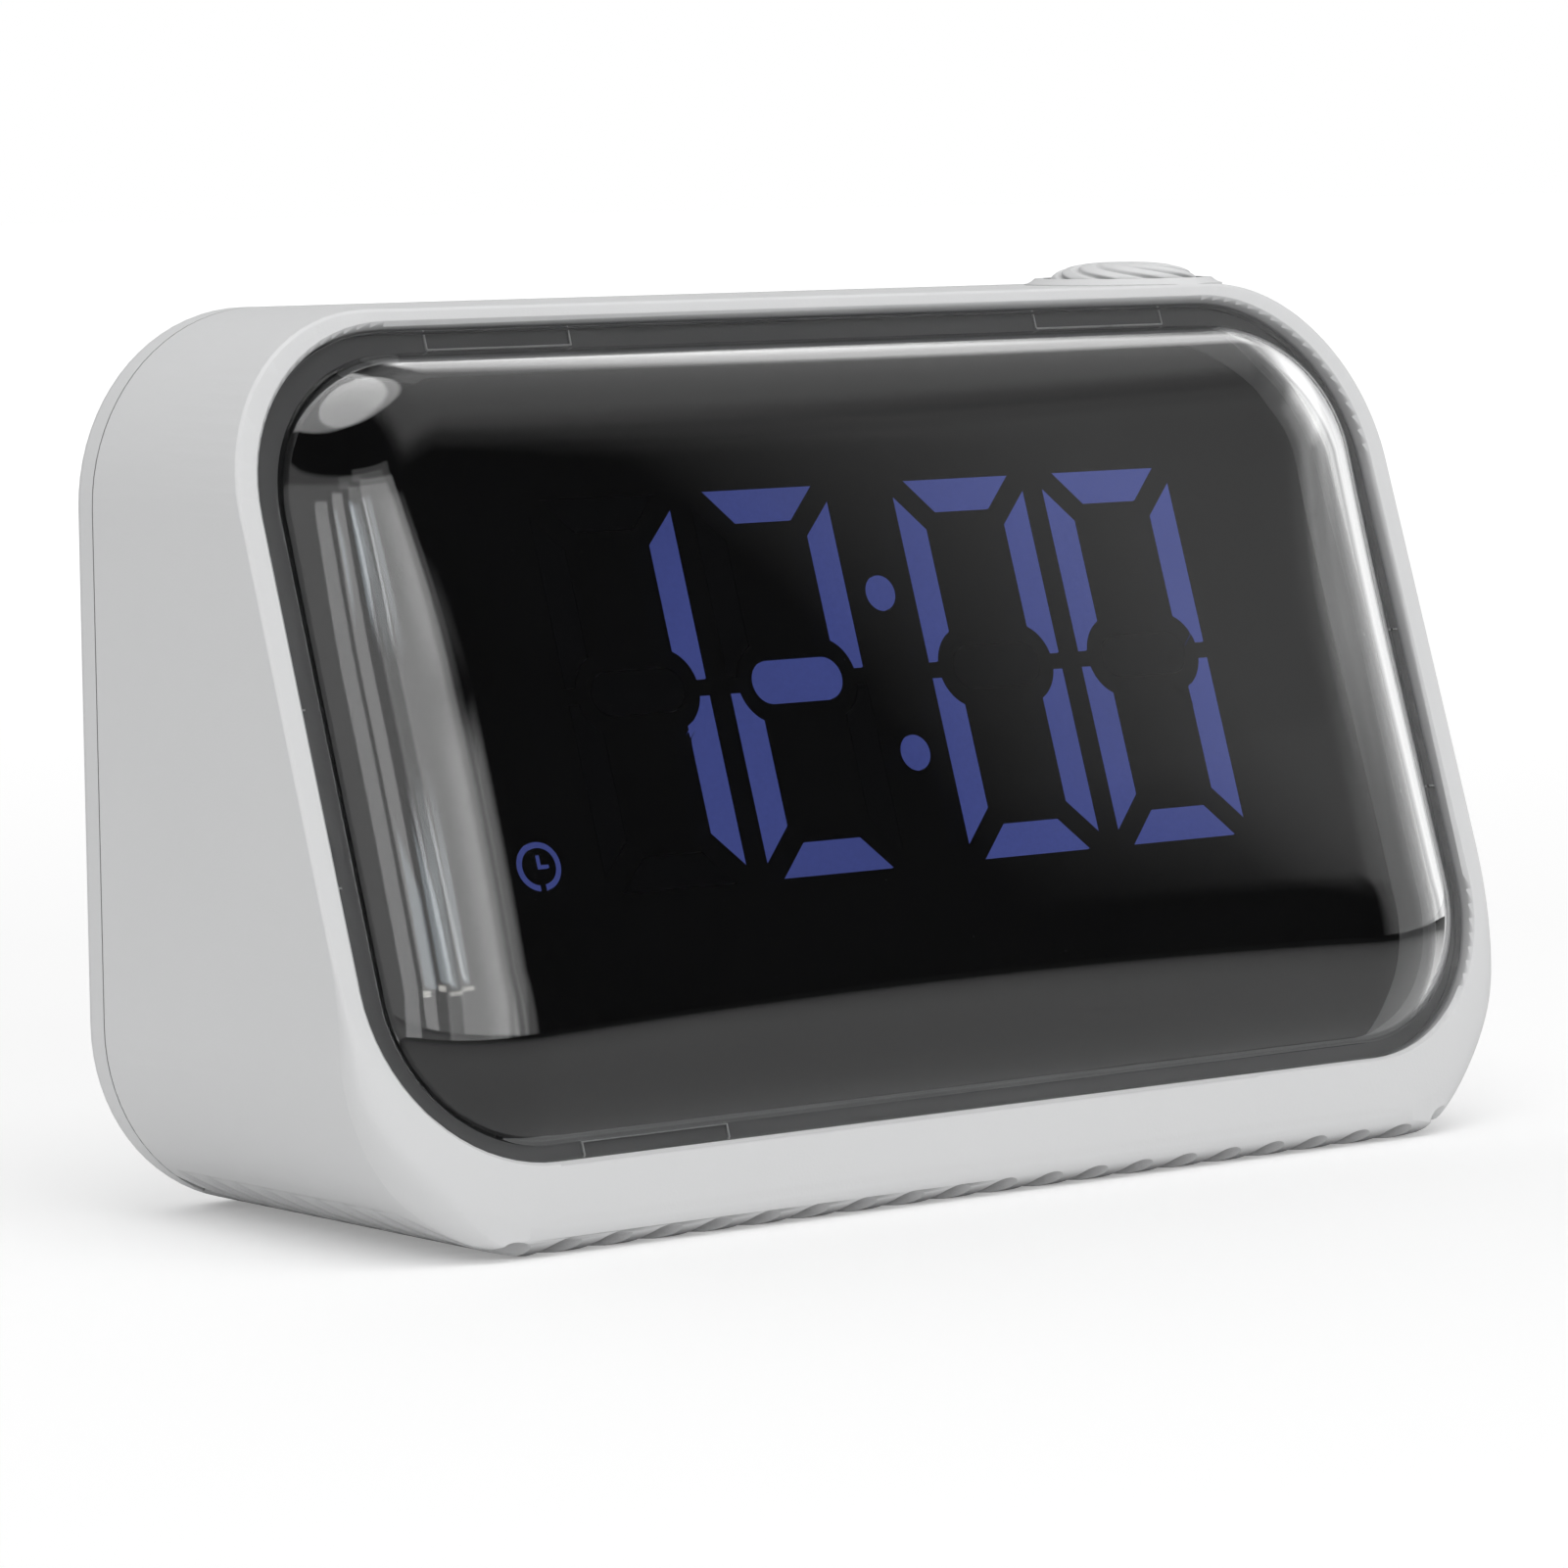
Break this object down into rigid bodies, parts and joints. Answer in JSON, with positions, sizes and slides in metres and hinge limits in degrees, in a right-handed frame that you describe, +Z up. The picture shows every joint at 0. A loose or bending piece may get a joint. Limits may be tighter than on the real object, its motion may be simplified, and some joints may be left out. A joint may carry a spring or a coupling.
{
  "type": "magnetic digital timer",
  "caption": "Wedge-shaped desk and fridge timer with a domed display window, a fluted turn-and-press knob and a flat magnetic back.",
  "frame": {"origin": "centre of the bounding box's bottom face, on the plane the base stands on", "axes": "+X to the right seen from the front, +Y to the back face, +Z up"},
  "size_m": [0.1, 0.0354, 0.062],
  "materials": {
    "white_plastic": "satin",
    "clear_plastic": "polished clear plastic",
    "black_panel": "gloss",
    "lit_diffuser": "translucent, lit",
    "dark_diffuser": "translucent, dark",
    "black_plastic": "matte",
    "green_board": "satin",
    "led_package": "gloss",
    "zinc_steel": "zinc",
    "chip_resin": "matte",
    "bright_steel": "bright",
    "foil": "foil",
    "ivory_plastic": "satin",
    "red_wire": "satin",
    "nickel_magnet": "nickel plated"
  },
  "bodies": {
    "housing": {"front_shell": "white_plastic", "rear_cover": "white_plastic", "lens": "clear_plastic", "inner_frame": "black_plastic", "display_panel": "black_panel", "lit_segments": "lit_diffuser", "unlit_segments": "dark_diffuser", "light_guide": "black_plastic", "display_board": "green_board", "segment_leds": "led_package", "display_board_screws": "zinc_steel", "main_board": "green_board", "controller_chip": "chip_resin", "buzzer": "black_plastic", "usb_socket_shell": "bright_steel", "usb_socket_tongue": "black_plastic", "volume_switch_body": "black_plastic", "battery": "foil", "battery_connector": "ivory_plastic", "battery_lead": "red_wire", "magnets": "nickel_magnet", "cover_screws": "zinc_steel", "main_board_screws": "zinc_steel", "encoder_board": "green_board", "encoder_screws": "zinc_steel", "encoder_body": "bright_steel"},
    "knob_press": {"encoder_plunger": "ivory_plastic"},
    "knob": {"control_knob": "white_plastic", "encoder_shaft": "bright_steel"},
    "volume_slider": {"volume_slider": "black_plastic"}
  },
  "joints": [
    {"name": "knob_press", "type": "slide", "parent": "housing", "child": "knob_press", "axis": [0, 0, -1], "range_m": [0, 0.0005], "stiffness_N_per_m": 3000, "springref_m": -0.0002},
    {"name": "knob_turn", "type": "hinge", "parent": "knob_press", "child": "knob", "pos_m": [0.0348, 0.00953, 0.06], "axis": [0, 0, 1], "continuous": true},
    {"name": "volume_slide", "type": "slide", "parent": "housing", "child": "volume_slider", "axis": [1, 0, 0], "range_m": [-0.0018, 0.0018]}
  ]
}
